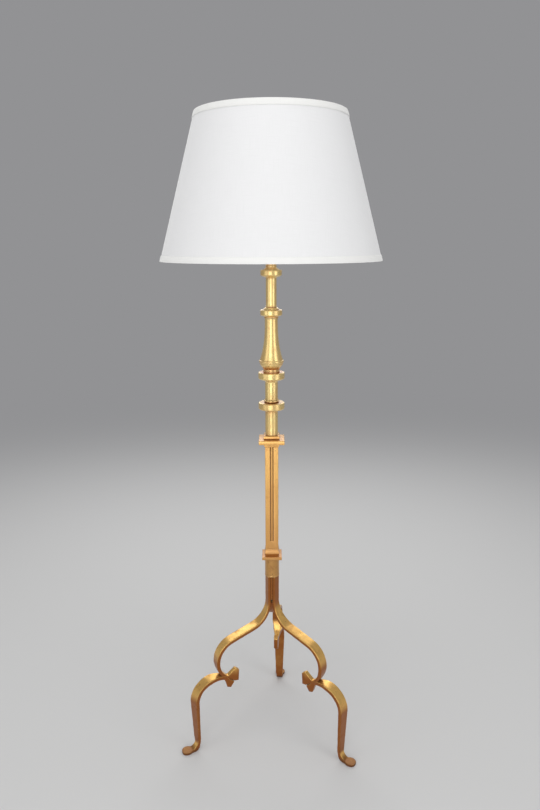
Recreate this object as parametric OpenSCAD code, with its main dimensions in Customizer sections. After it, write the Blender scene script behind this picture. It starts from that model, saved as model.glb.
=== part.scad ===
// Candlestick floor lamp: a tripod of bent flat bars carries a stack of turned
// and square column pieces, clamped on one full-length threaded pipe. The pipe
// ends in a socket and a harp, and the harp holds an empire shade.
// Origin: on the floor, on the column's axis. +Z is up, and one leg points to +Y.

/* [Leg bars] */
// Height of the upper bars' top ends above the floor
hub_top = 474; // [468:1:488]
// Straight stretch of an upper bar inside the hub
hub_grip = 74; // [68:1:82]
// Width of an upper bar at the hub
bar_hub_w = 20; // [16:0.5:22]
// Width of a bar at its fullest, on the curl and on the crown
bar_knee_w = 29; // [26:0.5:32]
// Width of a lower bar at the ankle
bar_ankle_w = 19; // [15:0.5:22]
// Thickness of an upper bar at the hub
bar_hub_t = 8; // [6:0.5:9]
// Thickness of an upper bar where it meets the lower bar
bar_joint_t = 9; // [7:0.5:10]
// Thickness of a lower bar at its crown
bar_crown_t = 10; // [8:0.5:12]
// Thickness of a lower bar at the ankle and of the foot pad
bar_ankle_t = 7; // [6:0.5:8]
// Radius of the bend that carries an upper bar outwards
sweep_r = 72; // [68:1:76]
// Angle of that bend
sweep_turn = 70; // [68:1:72]
// Straight slope between the two bends
slope_len = 68; // [60:1:76]
// Radius of the bend that curls an upper bar back in
curl_r = 62; // [59:1:65]
// Angle of that bend
curl_turn = 125; // [122:1:128]
// Radius of a lower bar's crown
crown_r = 60; // [56:1:64]
// Angle at which a lower bar climbs from the joint to its crown
crown_rise = 27; // [22:1:32]
// Inward lean of a lower bar from knee to ankle
ankle_lean = 2; // [0:0.5:4]
// Radius of the bend from the ankle to the foot pad
ankle_r = 14; // [10:1:18]
// Distance from that bend to the centre of the foot pad
toe_reach = 16.5; // [12:0.5:19]
// Radius of the round foot pad
toe_r = 14.5; // [12:0.5:17]
// Thickness of the forged fishtail ends at the leg joint
fishtail_w = 12; // [9:0.5:14]
// Length of those ends
fishtail_len = 37; // [33:0.5:40]

/* [Hub] */
// Distance from the axis to the inner faces of the upper bars
hub_inset = 8; // [7.5:0.5:10]
// How far the hub core stops above the lower end of the bars' straight stretch
hub_core_lift = 5; // [2:0.5:10]
// Diameter of the pipe's washer
washer_d = 15; // [14:0.5:15.5]
// Thickness of the pipe's washer
washer_t = 1.5; // [1:0.25:2]
// Width across the flats of the pipe's lock nut
nut_af = 14.3; // [13.5:0.1:14.5]
// Thickness of the lock nut
nut_t = 5; // [4:0.5:6]
// Height of the flanged rim of the pipe's end bushing
bushing_rim = 2; // [1.5:0.5:3]
// Length of the bushing's spigot in the pipe
bushing_spigot = 6; // [4:0.5:8]
// Bore of the bushing
bushing_bore_d = 5; // [4:0.25:5.5]

/* [Pipe] */
// Outside diameter of the lamp pipe
pipe_d = 10; // [9.5:0.1:10.2]
// Wall of the lamp pipe
pipe_wall = 1.5; // [1:0.25:1.75]
// Radial clearance between the pipe and the pieces that it passes through
pipe_fit = 0.2; // [0.1:0.05:0.4]
// How far the pipe stands out below its lock nut
pipe_tail = 4; // [3:0.5:6]
// How far the pipe reaches into the socket cap
pipe_head = 7; // [6:0.5:8]

/* [Square column] */
// Angle by which the square pieces are turned on the pipe
column_turn = 5.5; // [-10:0.5:10]
// Radius of the collar on top of the legs
collar_r = 19.5; // [18.5:0.5:21]
// Height of the collar
collar_h = 54; // [48:1:60]
// Width of the lower square plate
foot_plate_w = 52.5; // [48:0.5:58]
// Height of the lower square plate
foot_plate_h = 8; // [6.5:0.5:11]
// Width of the moulding under the shaft
foot_mould_w = 39; // [37:0.5:43]
// Height of the moulding under the shaft
foot_mould_h = 20; // [17:0.5:23]
// Width of the square shaft
shaft_w = 34; // [32:0.5:35]
// Height of the square shaft
shaft_h = 283; // [270:1:300]
// Wall of the square shaft
shaft_wall = 5; // [4.5:0.5:6]
// Width of the sunk channel in each face of the shaft
channel_w = 9.2; // [8.4:0.2:10.6]
// Depth of that channel
channel_depth = 3; // [2.5:0.25:3.25]
// Plain stretch of the shaft below the channels
channel_foot = 23; // [16:1:30]
// Width of the half-round reed that lies in each channel
reed_w = 6.8; // [6:0.2:8]
// Width of the small step under the upper plate
cap_neck_w = 39; // [37:0.5:42]
// Height of that step with the plain stretch below it
cap_neck_h = 10; // [8:0.5:12]
// Width of the upper square plate
cap_plate_w = 66; // [60:1:72]
// Height of the upper square plate
cap_plate_h = 11; // [9:0.5:14]
// Width of the step on the upper plate
cap_step_w = 41; // [38:1:46]
// Height of the step on the upper plate
cap_step_h = 9.5; // [8:0.5:12]

/* [Turned column] */
// Radius of the lower stem
lower_stem_r = 16.3; // [15:0.1:17]
// Height of the lower stem
lower_stem_h = 63.5; // [56:0.5:72]
// Radius of both disks
disk_r = 33.5; // [31:0.5:36]
// Thickness of both disks
disk_h = 18; // [15:0.5:20]
// Height of the ring turned under each disk
disk_ring_h = 4.5; // [3.5:0.5:6.5]
// Radius of the rings turned under and over the disks
disk_ring_r = 19.5; // [18.5:0.5:21]
// Height of the bead turned on top of the lower disk
disk_bead_h = 7; // [5:0.5:9]
// Radius of the middle stem
middle_stem_r = 16.3; // [15:0.1:17]
// Height of the middle stem
middle_stem_h = 49; // [44:0.5:54]
// Height of the vase
vase_h = 135; // [128:0.5:144]
// Radius of the vase's foot
vase_foot_r = 21.5; // [20:0.5:23]
// Radius of the vase at its lip
vase_lip_r = 31.4; // [30:0.1:33.5]
// Height of the middle of the lip above the foot
vase_lip_z = 27.4; // [25:0.2:31]
// Radius of the vase's top
vase_top_r = 16.3; // [15:0.1:17]
// Radius of the knop above the vase
collar_knop_r = 27.5; // [25.5:0.5:30]
// Height of that knop
collar_knop_h = 22; // [19:0.5:26]
// Radius of the top stem
top_stem_r = 13.4; // [12:0.1:14]
// Height of the top stem
top_stem_h = 77; // [68:1:86]
// Radius of the top knop
top_knop_r = 26.5; // [25:0.5:29]
// Height of the top knop
top_knop_h = 20.3; // [18:0.1:24]
// Radius of the neck
neck_r = 13.4; // [12:0.1:15]
// Height of the neck
neck_h = 13.7; // [12:0.1:18]

/* [Socket] */
// Radius of the check ring on top of the neck
check_ring_r = 16; // [15:0.5:18]
// Height of the check ring
check_ring_h = 4; // [3:0.5:5]
// Radius of the riser tube
riser_r = 7; // [6.5:0.5:8]
// Height of the riser tube
riser_h = 14; // [10:1:18]
// Outside radius of the socket shell
socket_r = 16.3; // [16:0.1:17]
// Wall of the socket's metal shell and cap
socket_wall = 0.8; // [0.6:0.1:1]
// Height of the socket cap
socket_cap_h = 15; // [13:0.5:16]
// Height of the socket shell
socket_shell_h = 47; // [45:1:52]
// Wall of the insulating liner
liner_wall = 0.8; // [0.6:0.1:1]
// Small clearance between the nested pieces of the socket
socket_fit = 0.25; // [0.2:0.05:0.35]
// Height of the moulded switch body
switch_body_h = 26; // [24:0.5:28]
// Inside radius of the screw shell
screw_r = 13.45; // [13.35:0.05:13.6]
// Wall of the screw shell
screw_wall = 0.5; // [0.4:0.1:0.6]
// Diameter of the switch shaft
switch_shaft_d = 4; // [3.5:0.25:4.5]
// Clearance round the switch shaft
switch_fit = 0.1; // [0.05:0.01:0.1]
// Diameter of the switch knob
knob_d = 11; // [9:0.5:12]
// Length of the switch knob
knob_len = 11; // [9:0.5:13]

/* [Bulb] */
// Radius of the bulb's metal base
bulb_base_r = 13; // [12.9:0.05:13.1]
// Length of the bulb's metal base
bulb_base_h = 24; // [22:0.5:26]
// Radius of the glass at its widest
bulb_r = 30; // [27:0.5:32]
// Length of the glass above the base
bulb_glass_h = 85; // [80:1:90]

/* [Harp] */
// Height of the harp from its saddle to its top plate
harp_h = 308; // [295:1:320]
// Half of the distance between the harp's sides at their widest
harp_half_w = 57; // [52:1:62]
// Diameter of the harp's rod
harp_rod_d = 4; // [3.5:0.25:4.5]
// Half of the distance between the saddle's posts
saddle_half_w = 32; // [30:0.5:35]
// Thickness of the saddle
saddle_t = 2; // [1.5:0.25:3]
// Height of the saddle's posts
post_h = 18; // [15:1:22]
// Length of the sliding ferrules
ferrule_len = 16; // [14:0.5:18]
// Wall of the ferrules
ferrule_wall = 1.2; // [0.8:0.1:1.5]
// Radial clearance of the ferrules on the rod
ferrule_fit = 0.1; // [0.05:0.01:0.1]
// Travel of the ferrules
ferrule_travel = 12; // [8:0.5:14]
// Diameter of the threaded stud on top of the harp
stud_d = 6.3; // [6:0.1:6.5]
// Length of that stud above its plate
stud_len = 14; // [12:0.5:15]

/* [Shade] */
// Outside radius of the shade at the bottom
shade_bottom_r = 270; // [250:1:285]
// Outside radius of the shade at the top
shade_top_r = 176; // [160:1:190]
// Height of the shade
shade_h = 338.5; // [320:0.5:360]
// Thickness of the shade's stiff fabric
fabric_t = 1.6; // [1.2:0.1:2]
// Height of the trim bands
trim_h = 14.5; // [12:0.5:18]
// Thickness of the trim bands
trim_t = 1.2; // [1:0.1:1.6]
// Diameter of the shade's wire rings and arms
wire_d = 3.4; // [3:0.1:4]
// Radius of the washer in the middle of the spider
spider_washer_r = 12; // [11.5:0.5:14]
// Thickness of that washer
spider_washer_t = 1.6; // [1.2:0.1:2]
// How far the washer lies below the top of the shade
spider_drop = 20; // [15:0.5:28]
// Gap between the shade's pieces where they are glued
glue_gap = 0.2; // [0.1:0.05:0.3]

/* [Finial] */
// Height of the finial
finial_h = 46.4; // [40:0.2:50]
// Radius of the finial's foot
finial_foot_r = 9; // [8:0.5:9.5]
// Radius of the finial's ball
finial_ball_r = 11; // [9:0.5:12]
// Gap between the pieces that turn on each other under the finial
turn_gap = 0.2; // [0.1:0.05:0.3]

/* [Hidden] */

$fn = 72;
leg_count = 3;
first_leg_angle = 90;
face_count = 4;
bend_step = 7;
bend_lap = 0.4;
bend_thinning = 0.05;
overcut = 1;

gilt = [0.83, 0.66, 0.32];
gilt_shade = [0.68, 0.47, 0.20];
brass = [0.80, 0.66, 0.35];
steel = [0.70, 0.70, 0.70];
black_plastic = [0.12, 0.12, 0.12];
card = [0.62, 0.55, 0.42];
linen = [0.94, 0.93, 0.90];
trim_linen = [0.97, 0.96, 0.94];
frosted = [0.95, 0.95, 0.95];

// Stack of the column, from the top of the legs up
foot_plate_z = hub_top + collar_h;
foot_mould_z = foot_plate_z + foot_plate_h;
shaft_z = foot_mould_z + foot_mould_h;
cap_neck_z = shaft_z + shaft_h;
cap_plate_z = cap_neck_z + cap_neck_h;
cap_step_z = cap_plate_z + cap_plate_h;
lower_stem_z = cap_step_z + cap_step_h;
lower_disk_z = lower_stem_z + lower_stem_h;
middle_stem_z = lower_disk_z + disk_ring_h + disk_h + disk_bead_h;
upper_disk_z = middle_stem_z + middle_stem_h;
vase_z = upper_disk_z + disk_ring_h + disk_h;
collar_knop_z = vase_z + vase_h;
top_stem_z = collar_knop_z + collar_knop_h;
top_knop_z = top_stem_z + top_stem_h;
neck_z = top_knop_z + top_knop_h;
check_ring_z = neck_z + neck_h;
riser_z = check_ring_z + check_ring_h;
saddle_z = riser_z + riser_h;
socket_z = saddle_z + saddle_t;

// Pipe, with its washer and nut under the hub core
pipe_r = pipe_d / 2;
bore_r = pipe_r + pipe_fit;
hub_core_z = hub_top - hub_grip + hub_core_lift;
washer_z = hub_core_z - washer_t;
nut_z = washer_z - nut_t;
pipe_z = nut_z - pipe_tail;
pipe_top = socket_z + pipe_head;

// Socket, from the floor of its cap up to the bulb
cap_floor_z = pipe_top + 1;
liner_r = socket_r - socket_wall - socket_fit;
switch_body_r = liner_r - liner_wall - socket_fit;
switch_body_top = cap_floor_z + switch_body_h;
switch_axis_z = cap_floor_z + switch_body_h / 2;
switch_bore_depth = 6;
switch_hole_r = switch_shaft_d / 2 + 1;
contact_r = 4;
contact_h = 1.5;
bulb_z = switch_body_top + contact_h + turn_gap;

// Harp, shade and finial
harp_plate_r = 8;
harp_plate_t = 2.5;
harp_top = saddle_z + harp_h;
post_top = socket_z + post_h;
rod_r = harp_rod_d / 2;
ferrule_z = post_top - ferrule_len / 2;
spider_z = harp_top + turn_gap;
shade_top = spider_z + spider_drop;
shade_z = shade_top - shade_h;
shade_slope = atan((shade_bottom_r - shade_top_r) / shade_h);
fabric_in = trim_t + glue_gap;
ring_room = (wire_d / 2 + glue_gap) / cos(shade_slope);
wire_in = fabric_in + fabric_t + ring_room;
trim_in = wire_in + ring_room + trim_t;
trim_lip = 7;
top_ring_z = shade_top - trim_t - glue_gap - wire_d / 2;
bottom_ring_z = shade_z + trim_t + glue_gap + wire_d / 2;
finial_z = spider_z + spider_washer_t + turn_gap;

// ---- Outlines -----------------------------------------------------------

// Points on an arc round centre c
function arc(c, r, from, to, n = 8) =
    [for (i = [0:n]) let (a = from + (to - from) * i / n) c + r * [cos(a), sin(a)]];

function last_of(list) = list[len(list) - 1];

function reversed(list) = [for (i = [len(list) - 1:-1:0]) list[i]];

// One run of a bent bar: [length, 0] is straight and [radius, angle] is a bend.
// A station is [distance out, height, heading].
function run_stations(p, size, turn) =
    turn == 0
    ? [[p[0] + size * cos(p[2]), p[1] + size * sin(p[2]), p[2]]]
    : let (
        side = sign(turn),
        c = [p[0] - size * side * sin(p[2]), p[1] + size * side * cos(p[2])],
        n = ceil(abs(turn) / bend_step)
    ) [for (i = [1:n]) let (h = p[2] + turn * i / n)
        [c[0] + size * side * sin(h), c[1] - size * side * cos(h), h]];

// Stations along a whole bar, each run starting where the one before it ends
function bar_stations(p, runs, i = 0) =
    i == len(runs) ? [p] :
    let (next = run_stations(p, runs[i][0], runs[i][1]))
    concat(
        [p],
        [for (k = [0:1:len(next) - 2]) next[k]],
        bar_stations(last_of(next), runs, i + 1));

// Edge of a bar that is t0 thick up to its second station, then goes evenly to t1
function bar_edge(path, t0, t1, side) =
    [for (i = [0:len(path) - 1])
        let (
            p = path[i],
            half = side * (t0 + (t1 - t0) * max(0, i - 1) / (len(path) - 2)) / 2
        ) [p[0] - half * sin(p[2]), p[1] + half * cos(p[2])]];

function bar_outline(path, t0, t1) =
    concat(bar_edge(path, t0, t1, 1), reversed(bar_edge(path, t0, t1, -1)));

// Arc that rounds the corner p, which lies between the corners a and b
function corner(a, p, b, r, n = 4) =
    r == 0 ? [p] :
    let (
        u = (a - p) / norm(a - p),
        v = (b - p) / norm(b - p),
        half = acos(max(-1, min(1, u * v))) / 2,
        c = p + (u + v) / norm(u + v) * r / sin(half),
        start = p + u * r / tan(half) - c,
        finish = p + v * r / tan(half) - c,
        from = atan2(start[1], start[0]),
        turn = (atan2(finish[1], finish[0]) - from + 540) % 360 - 180
    ) arc(c, r, from, from + turn, n);

// Outline of [x, y, corner radius] places
function rounded(places) =
    let (n = len(places), at = [for (p = places) [p[0], p[1]]])
    [for (i = [0:n - 1])
        each corner(at[(i + n - 1) % n], at[i], at[(i + 1) % n], places[i][2])];

// ---- Shared forms -------------------------------------------------------

// The hole that every piece on the pipe has, for a piece whose foot is at z
module pipe_bore(z) {
    translate([0, 0, hub_core_z - overcut - z])
        cylinder(h = pipe_top - hub_core_z + 2 * overcut, r = bore_r);
}

// Turned piece with its foot at z; its profile is [radius, height] places
module turned(z, profile) {
    translate([0, 0, z]) difference() {
        rotate_extrude() polygon(profile);
        pipe_bore(z);
    }
}

// Square piece with its foot at z, and the same profile on all four sides
module squared(z, profile) {
    both = concat(profile, [for (p = reversed(profile)) [-p[0], p[1]]]);
    width = 2 * max([for (p = profile) p[0]]) + 2 * overcut;
    translate([0, 0, z]) rotate(column_turn) difference() {
        intersection() {
            rotate([90, 0, 0]) linear_extrude(width, center = true) polygon(both);
            rotate([90, 0, 90]) linear_extrude(width, center = true) polygon(both);
        }
        pipe_bore(z);
    }
}

module tube(h, outer, inner) {
    difference() {
        cylinder(h = h, r = outer);
        translate([0, 0, -overcut]) cylinder(h = h + 2 * overcut, r = inner);
    }
}

// Rod that starts at the origin along +Z; runs as for a bar, bending towards +X.
// The straight runs lap over the ends of the bends, which are a hair thinner.
module bent_rod(runs, r, i = 0) {
    if (i < len(runs)) {
        size = runs[i][0];
        turn = runs[i][1];
        if (turn == 0) {
            foot = i == 0 ? 0 : bend_lap;
            head = i == len(runs) - 1 ? 0 : bend_lap;
            translate([0, 0, -foot]) cylinder(h = size + foot + head, r = r);
            translate([0, 0, size]) bent_rod(runs, r, i + 1);
        } else {
            rotate(turn > 0 ? 180 : 0) translate([-size, 0, 0]) rotate([90, 0, 0])
                rotate_extrude(angle = abs(turn)) translate([size, 0]) circle(r - bend_thinning);
            translate([sign(turn) * size * (1 - cos(turn)), 0, size * sin(abs(turn))])
                rotate([0, turn, 0]) bent_rod(runs, r, i + 1);
        }
    }
}

module at_leg(i) {
    rotate(first_leg_angle + (i - 1) * 360 / leg_count) children();
}

// ---- Legs ---------------------------------------------------------------

// An upper bar runs down the hub, sweeps out, and curls back in to the joint
scroll_path = bar_stations([hub_inset + bar_hub_t / 2, hub_top, -90], [
    [hub_grip, 0], [sweep_r, sweep_turn], [slope_len, 0], [curl_r, -curl_turn]
]);
joint = [last_of(scroll_path)[0], last_of(scroll_path)[1]];

// A lower bar climbs from the joint to its crown, then drops to the foot pad
crown_turn = 90 + crown_rise + ankle_lean;
bar_lap = bar_joint_t * [0.44, -0.11];
bar_start = [joint[0] + bar_lap[0], joint[1] + bar_lap[1], crown_rise];
knee = last_of(bar_stations(bar_start, [[crown_r, -crown_turn]]));
shin_len = (knee[1] - ankle_r * (1 + sin(ankle_lean)) - bar_ankle_t / 2) / cos(ankle_lean);
bar_path = bar_stations(bar_start, [
    [crown_r, -crown_turn], [shin_len, 0], [ankle_r, 90 + ankle_lean]
]);
heel_x = last_of(bar_path)[0];
pad_x = heel_x + toe_reach;
leg_reach = pad_x + toe_r;

// Fishtail end, from places out from and above the joint and corner radii, all of
// them as shares of its length
function fishtail(places) = rounded([for (p = places) fishtail_len * p]);

scroll_tail = fishtail([
    [-0.03, 0.08, 0], [-0.7, 0.6, 0.11], [-1, 0.35, 0.11], [-0.93, -0.49, 0.11],
    [-0.6, -0.46, 0], [-0.05, -0.11, 0]
]);
bar_tail = fishtail([
    [-0.6, -0.46, 0], [-0.32, -0.92, 0.11], [-0.03, -0.84, 0.11], [0.19, -0.08, 0],
    [-0.05, -0.11, 0]
]);

module leg_profile(outline, width) {
    rotate([90, 0, 0]) linear_extrude(width, center = true) polygon(outline);
}

// Block whose width changes with height; stations are [height, width] from the top
module width_by_height(stations) {
    left = [for (s = stations) [-s[1] / 2, s[0]]];
    right = [for (s = stations) [s[1] / 2, s[0]]];
    rotate([90, 0, 90]) linear_extrude(leg_reach) polygon(concat(left, reversed(right)));
}

module scroll_shape() {
    full_top = joint[1] + 2.2 * curl_r;
    full_foot = joint[1] + 0.66 * curl_r;
    intersection() {
        leg_profile(bar_outline(scroll_path, bar_hub_t, bar_joint_t), bar_knee_w);
        width_by_height([
            [hub_top + overcut, bar_hub_w],
            [hub_top - hub_grip, bar_hub_w],
            [full_top, bar_knee_w],
            [full_foot, bar_knee_w],
            [joint[1], fishtail_w],
            [0, fishtail_w]
        ]);
    }
    translate([joint[0], 0, joint[1]]) leg_profile(scroll_tail, fishtail_w);
}

module leg_scroll(i) {
    color(gilt) at_leg(i) scroll_shape();
}

module leg_bar(i) {
    crown_x = bar_start[0] + crown_r * sin(crown_rise);
    color(gilt_shade) at_leg(i) difference() {
        union() {
            intersection() {
                leg_profile(bar_outline(bar_path, bar_crown_t, bar_ankle_t), bar_knee_w);
                width_by_height([
                    [hub_top, bar_knee_w],
                    [knee[1], bar_knee_w],
                    [bar_ankle_t, bar_ankle_w],
                    [-overcut, bar_ankle_w]
                ]);
                crown_plan(crown_x);
            }
            translate([joint[0], 0, joint[1]]) leg_profile(bar_tail, fishtail_w);
            foot_pad();
        }
        scroll_shape();
    }
}

// Plan of a lower bar: narrow at the joint, full from its crown out
module crown_plan(crown_x) {
    linear_extrude(hub_top) polygon([
        [0, -fishtail_w / 2], [joint[0], -fishtail_w / 2],
        [crown_x + bar_knee_w / 2, -bar_knee_w / 2], [leg_reach, -bar_knee_w / 2],
        [leg_reach, bar_knee_w / 2], [crown_x + bar_knee_w / 2, bar_knee_w / 2],
        [joint[0], fishtail_w / 2], [0, fishtail_w / 2]
    ]);
}

module foot_pad() {
    translate([pad_x, 0, 0]) cylinder(h = bar_ankle_t, r = toe_r);
    linear_extrude(bar_ankle_t) polygon([
        [heel_x - 2, -bar_ankle_w / 2], [pad_x, -toe_r],
        [pad_x, toe_r], [heel_x - 2, bar_ankle_w / 2]
    ]);
}

// ---- Hub and pipe -------------------------------------------------------

// Three-sided core whose blunt corners close the seams between the bars
module hub_core() {
    half = bar_hub_w / 2;
    corners = [
        for (i = [1:leg_count], side = [-1, 1])
            let (a = first_leg_angle + (i - 1) * 360 / leg_count)
            [hub_inset * cos(a) - side * half * sin(a), hub_inset * sin(a) + side * half * cos(a)]
    ];
    color(gilt_shade) difference() {
        translate([0, 0, hub_core_z]) linear_extrude(hub_top - hub_core_z) polygon(corners);
        pipe_bore(0);
    }
}

module pipe_washer() {
    color(steel) translate([0, 0, washer_z]) tube(washer_t, washer_d / 2, bore_r);
}

module pipe_locknut() {
    color(steel) translate([0, 0, nut_z]) difference() {
        at_leg(1) rotate(30) cylinder(h = nut_t, d = nut_af / cos(30), $fn = 6);
        translate([0, 0, -overcut]) cylinder(h = nut_t + 2 * overcut, r = bore_r);
    }
}

module lamp_pipe() {
    color(brass) translate([0, 0, pipe_z])
        tube(pipe_top - pipe_z, pipe_r, pipe_r - pipe_wall);
}

module pipe_bushing() {
    color(black_plastic) translate([0, 0, pipe_z - bushing_rim]) difference() {
        union() {
            cylinder(h = bushing_rim, r = pipe_r + 1);
            cylinder(h = bushing_rim + bushing_spigot, r = pipe_r - pipe_wall - pipe_fit);
        }
        translate([0, 0, -overcut])
            cylinder(h = bushing_rim + bushing_spigot + 2 * overcut, d = bushing_bore_d);
    }
}

// ---- Square column ------------------------------------------------------

module hub_collar() {
    r = collar_r;
    h = collar_h;
    rim_h = 1.5;
    groove = 0.5;
    color(gilt_shade) turned(hub_top, [
        [0, 0], [r - groove, 0], [r, groove], [r, 2 * rim_h], [r - groove, 2.3 * rim_h],
        [r - groove, h - 2 * rim_h], [r, h - rim_h], [r, h], [0, h]
    ]);
}

module foot_plate() {
    half = foot_plate_w / 2;
    chamfer = foot_plate_h / 12;
    color(gilt) squared(foot_plate_z, [
        [0, 0], [half - chamfer, 0], [half, chamfer], [half, foot_plate_h - chamfer],
        [half - chamfer, foot_plate_h], [0, foot_plate_h]
    ]);
}

// Recess, low upright lip, then a slope that closes in on the shaft
module foot_moulding() {
    half = foot_mould_w / 2;
    recess = half - 2;
    top = shaft_w / 2 + 0.3;
    h = foot_mould_h;
    color(gilt) squared(foot_mould_z, [
        [0, 0], [recess, 0], [recess, 0.3 * h], [half, 0.34 * h], [half, 0.42 * h],
        [top + 0.35 * (half - top), 0.72 * h], [top, 0.92 * h], [top, h], [0, h]
    ]);
}

module square_shaft() {
    inside_w = shaft_w - 2 * shaft_wall;
    color(gilt) translate([0, 0, shaft_z]) difference() {
        rotate(column_turn) translate([-shaft_w / 2, -shaft_w / 2, 0])
            cube([shaft_w, shaft_w, shaft_h]);
        rotate(column_turn) translate([-inside_w / 2, -inside_w / 2, -overcut])
            cube([inside_w, inside_w, shaft_h + 2 * overcut]);
        for (i = [1:face_count])
            on_face(i) translate([0, -channel_w / 2, channel_foot])
                cube([channel_depth + overcut, channel_w, shaft_h]);
    }
}

// Moves a shape from the origin to the floor of a face's channel
module on_face(i) {
    rotate(column_turn + i * 360 / face_count)
        translate([shaft_w / 2 - channel_depth, 0, 0]) children();
}

module reed(i) {
    color(gilt) translate([0, 0, shaft_z + channel_foot]) on_face(i)
        linear_extrude(shaft_h - channel_foot) intersection() {
            circle(d = reed_w);
            translate([0, -reed_w]) square(2 * reed_w);
        }
}

module cap_neck() {
    half = cap_neck_w / 2;
    foot = half - 2;
    h = cap_neck_h;
    color(gilt) squared(cap_neck_z, [
        [0, 0], [foot, 0], [foot, 0.15 * h], [half, 0.25 * h], [half, h], [0, h]
    ]);
}

module cap_plate() {
    half = cap_plate_w / 2;
    edge = cap_plate_h / 5;
    color(gilt) squared(cap_plate_z, concat(
        [[0, 0]],
        arc([half - edge, edge], edge, -90, 0, 5),
        arc([half - edge, cap_plate_h - edge], edge, 0, 90, 5),
        [[0, cap_plate_h]]
    ));
}

module cap_step() {
    half = cap_step_w / 2;
    recess = half - 1.5;
    h = cap_step_h;
    color(gilt) squared(cap_step_z, [
        [0, 0], [recess, 0], [recess, 0.2 * h], [half, 0.26 * h], [half, 0.75 * h],
        [recess, h], [0, h]
    ]);
}

// ---- Turned column ------------------------------------------------------

module lower_stem() {
    r = lower_stem_r;
    bead = 1.2;
    color(gilt) turned(lower_stem_z, concat(
        [[0, 0]],
        arc([r + 0.3, bead], bead, -90, 90, 6),
        [[r + 0.4, 2.3 * bead], [r, 0.3 * lower_stem_h], [r, lower_stem_h],
         [0, lower_stem_h]]
    ));
}

// Ring, disk and, on the lower one, a bead on top
function disk_profile(bead_h) =
    let (
        edge = disk_h / 5,
        top = disk_ring_h + disk_h,
        bead_r = bead_h / 2
    ) concat(
        [[0, 0], [disk_ring_r - 1, 0], [disk_ring_r, 1], [disk_ring_r, disk_ring_h]],
        arc([disk_r - edge, disk_ring_h + edge], edge, -90, 0, 5),
        arc([disk_r - edge, top - edge], edge, 0, 90, 5),
        bead_h == 0 ? [] : arc([disk_ring_r - bead_r, top + bead_r], bead_r, -90, 90, 8),
        [[0, top + bead_h]]
    );

module lower_disk() {
    color(gilt) turned(lower_disk_z, disk_profile(disk_bead_h));
}

module middle_stem() {
    r = middle_stem_r;
    h = middle_stem_h;
    flare = 1.5;
    color(gilt) turned(middle_stem_z, [
        [0, 0], [r + flare, 0], [r, 2 * flare], [r, h - 2 * flare], [r + flare, h], [0, h]
    ]);
}

module upper_disk() {
    color(gilt) turned(upper_disk_z, disk_profile(0));
}

// Foot, hollow under the lip, rounded lip, then a long bell-shaped taper
module vase() {
    lip = 4;
    bell_z = vase_lip_z + lip + 1;
    bell_r = vase_lip_r - 2.5;
    bell_steps = 14;
    bell_power = 2.8;
    waist_r = vase_foot_r - 1;
    color(gilt) turned(vase_z, concat(
        [[0, 0], [vase_foot_r, 0], [vase_foot_r, 0.7 * lip], [waist_r, lip]],
        [[waist_r, vase_lip_z - 5 * lip], [waist_r + 1.7, vase_lip_z - 4.4 * lip],
         [waist_r + 5.5, vase_lip_z - 3.1 * lip], [vase_lip_r - 2.4, vase_lip_z - 1.9 * lip]],
        arc([vase_lip_r - lip, vase_lip_z], lip, -50, 60, 8),
        [for (i = [0:bell_steps])
            let (u = i / bell_steps)
            [vase_top_r + (bell_r - vase_top_r) * pow(1 - u, bell_power),
             bell_z + (vase_h - bell_z) * u]],
        [[0, vase_h]]
    ));
}

module collar_knop() {
    r = collar_knop_r;
    h = collar_knop_h;
    ring_r = vase_top_r + 1.3;
    edge = 3;
    color(gilt) turned(collar_knop_z, concat(
        [[0, 0], [ring_r, 0.03 * h], [ring_r + 0.5, 0.12 * h], [ring_r, 0.2 * h],
         [ring_r + 3, 0.3 * h]],
        arc([r - edge, 0.35 * h + edge], edge, -80, 0, 5),
        arc([r - edge, h - edge], edge, 0, 80, 5),
        [[0, h]]
    ));
}

// Plain stem above a small cove and a groove
module top_stem() {
    r = top_stem_r;
    h = top_stem_h;
    cove = 6;
    color(gilt) turned(top_stem_z, [
        [0, 0], [r + cove, 0], [r + 0.85 * cove, 0.03 * h], [r + 0.3 * cove, 0.07 * h],
        [r, 0.08 * h], [r, 0.09 * h], [r + 0.15 * cove, 0.095 * h],
        [r + 0.15 * cove, 0.11 * h], [r, 0.13 * h], [r, h], [0, h]
    ]);
}

// Round-edged knop on a short cove that swells out of the top stem
module top_knop() {
    r = top_knop_r;
    h = top_knop_h;
    cove = r - top_stem_r;
    edge = 3;
    color(gilt) turned(top_knop_z, concat(
        [[0, 0], [r - 0.98 * cove, 0], [r - 0.9 * cove, 0.08 * h],
         [r - 0.65 * cove, 0.15 * h], [r - 0.33 * cove, 0.22 * h]],
        arc([r - edge, 0.28 * h + edge], edge, -80, 0, 5),
        arc([r - edge, h - edge], edge, 0, 80, 5),
        [[0, h]]
    ));
}

// Flared foot, then a plain neck with a bead near its top
module neck() {
    r = neck_r;
    h = neck_h;
    flare = 6;
    color(gilt) turned(neck_z, concat(
        [[0, 0], [r + flare, 0], [r + 0.88 * flare, 0.1 * h], [r + 0.35 * flare, 0.27 * h],
         [r, 0.45 * h], [r, 0.62 * h]],
        arc([r - 1, 0.73 * h], 0.115 * h, -50, 50, 6),
        [[r, 0.84 * h], [r, h], [0, h]]
    ));
}

// ---- Socket -------------------------------------------------------------

module check_ring() {
    half = check_ring_h / 2;
    color(brass) turned(check_ring_z, concat(
        [[0, 0]], arc([check_ring_r - half, half], half, -90, 90, 8), [[0, check_ring_h]]
    ));
}

module riser() {
    color(brass) turned(riser_z, [[0, 0], [riser_r, 0], [riser_r, riser_h], [0, riser_h]]);
}

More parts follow.
